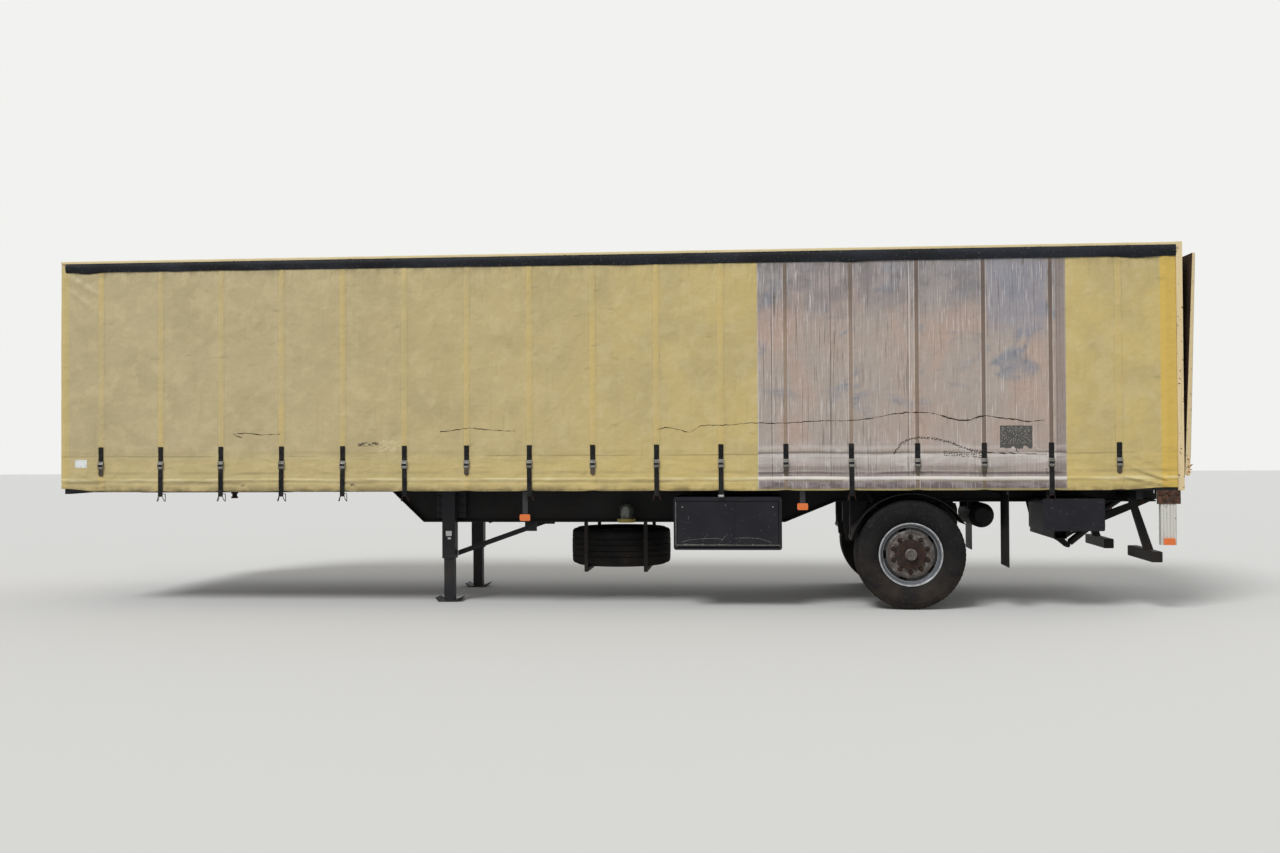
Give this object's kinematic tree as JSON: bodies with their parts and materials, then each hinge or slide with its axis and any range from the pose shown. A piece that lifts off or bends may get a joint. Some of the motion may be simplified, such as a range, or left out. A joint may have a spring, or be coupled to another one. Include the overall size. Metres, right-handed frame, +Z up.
{
  "type": "semi trailer",
  "caption": "Curtain-sided semi trailer parked on its landing legs, with a weathered yellow curtain, underslung storage box and spare wheel, and a full-height tail-lift platform at the rear.",
  "frame": {"origin": "on the ground under the middle of the whole trailer", "axes": "+X to the rear, -Y to the trailer's left side, +Z up"},
  "size_m": [10.934, 2.586, 3.415],
  "materials": {
    "curtain_cloth": "woven, coated, weathered",
    "tarp_cloth": "coated",
    "flap_rubber": "matt",
    "webbing": "woven",
    "body_paint": "gloss, chalked",
    "chassis_paint": "matt",
    "box_paint": "satin",
    "roof_alloy": "mill",
    "deck_wood": "worn",
    "platform_alloy": "worn",
    "tyre_rubber": "matt",
    "rim_silver": "satin",
    "hub_iron": "rusted",
    "bare_steel": "galvanised",
    "rod_chrome": "polished",
    "bracket_white": "gloss",
    "lens_orange": "gloss",
    "lens_red": "gloss",
    "reservoir_plastic": "clear",
    "black_plastic": "matt",
    "bellows_rubber": "matt"
  },
  "bodies": {
    "root": {"air_springs": "bellows_rubber", "air_tank": "chassis_paint", "axle": "chassis_paint", "brake_chambers": "chassis_paint", "coupling_plate": "bare_steel", "crossmembers": "chassis_paint", "curtain_left": "curtain_cloth", "curtain_right": "curtain_cloth", "dampers": "chassis_paint", "floor": "deck_wood", "front_wall": "body_paint", "kingpin": "bare_steel", "lamp_brackets": "bracket_white", "landing_leg_left": "chassis_paint", "landing_leg_right": "chassis_paint", "left_electric_socket": "black_plastic", "right_electric_socket": "black_plastic", "leg_shaft": "chassis_paint", "lift_frame": "chassis_paint", "lubricator": "reservoir_plastic", "main_beams": "chassis_paint", "marker_lamps": "lens_orange", "mud_flaps": "flap_rubber", "mudguards": "black_plastic", "pillars": "roof_alloy", "rain_flaps": "flap_rubber", "rear_cabinet": "box_paint", "rear_frame": "body_paint", "rear_lamps": "lens_red", "roof_bows": "roof_alloy", "roof_rails": "roof_alloy", "roof_tarp": "tarp_cloth", "service_panel": "chassis_paint", "side_rails": "chassis_paint", "spare_cradle": "chassis_paint", "spare_rim": "rim_silver", "spare_tyre": "tyre_rubber", "storage_box": "box_paint", "straps": "webbing", "suspension_arms": "chassis_paint", "underrun": "chassis_paint"},
    "left_wheel": {"left_tyre": "tyre_rubber", "left_rim": "rim_silver", "left_hub": "hub_iron"},
    "right_wheel": {"right_tyre": "tyre_rubber", "right_rim": "rim_silver", "right_hub": "hub_iron"},
    "box_door": {"storage_box_door": "box_paint"},
    "lift_arms_body": {"lift_arms": "chassis_paint"},
    "pivot_shaft_body": {"pivot_shaft": "bare_steel"},
    "platform_body": {"platform": "platform_alloy"},
    "lift_barrel_body": {"lift_barrel": "chassis_paint"},
    "lift_rod_body": {"lift_rod": "rod_chrome"},
    "tilt_barrel_body": {"tilt_barrel": "chassis_paint"},
    "tilt_rod_body": {"tilt_rod": "rod_chrome"}
  },
  "joints": [
    {"name": "left_wheel_spin", "type": "hinge", "parent": "root", "child": "left_wheel", "pos_m": [2.818, -1.04, 0.515], "axis": [0, 1, 0], "continuous": true},
    {"name": "right_wheel_spin", "type": "hinge", "parent": "root", "child": "right_wheel", "pos_m": [2.818, 1.04, 0.515], "axis": [0, 1, 0], "continuous": true},
    {"name": "box_door_drop", "type": "hinge", "parent": "root", "child": "box_door", "pos_m": [1.106, -1.24, 0.6], "axis": [1, 0, 0], "range_deg": [0, 110]},
    {"name": "lift_swing", "type": "hinge", "parent": "root", "child": "lift_arms_body", "pos_m": [4.473, 0, 0.7], "axis": [0, 1, 0], "range_deg": [0, 65.06]},
    {"name": "shaft_level", "type": "hinge", "parent": "lift_arms_body", "child": "pivot_shaft_body", "pos_m": [5.315, 0, 1.23], "axis": [0, 1, 0], "range_deg": [-65.16, 0]},
    {"name": "platform_fold", "type": "hinge", "parent": "pivot_shaft_body", "child": "platform_body", "pos_m": [5.315, 0, 1.23], "axis": [0, 1, 0], "range_deg": [0, 90.6]},
    {"name": "lift_barrel_turn", "type": "hinge", "parent": "root", "child": "lift_barrel_body", "pos_m": [4.493, -0.12, 0.53], "axis": [0, 1, 0], "range_deg": [0, 65.21]},
    {"name": "lift_rod_slide", "type": "slide", "parent": "lift_barrel_body", "child": "lift_rod_body", "axis": [0.7736, 0, 0.6336], "range_m": [-0.1846, 0]},
    {"name": "tilt_barrel_turn", "type": "hinge", "parent": "root", "child": "tilt_barrel_body", "pos_m": [4.4764, 0.12, 0.57004], "axis": [0, 1, 0], "range_deg": [0, 65.16]},
    {"name": "tilt_rod_slide", "type": "slide", "parent": "tilt_barrel_body", "child": "tilt_rod_body", "axis": [0.8272, 0, 0.5619], "range_m": [-0.1825, 0]}
  ],
  "couplings": [
    {"joint": "shaft_level", "follows": "lift_swing", "ratio": -1},
    {"joint": "lift_barrel_turn", "follows": "lift_swing", "ratio": 0.99927},
    {"joint": "lift_rod_slide", "follows": "lift_swing", "m_per_rad": -0.16212},
    {"joint": "tilt_barrel_turn", "follows": "lift_swing", "ratio": 1},
    {"joint": "tilt_rod_slide", "follows": "platform_fold", "m_per_rad": -0.1151}
  ]
}
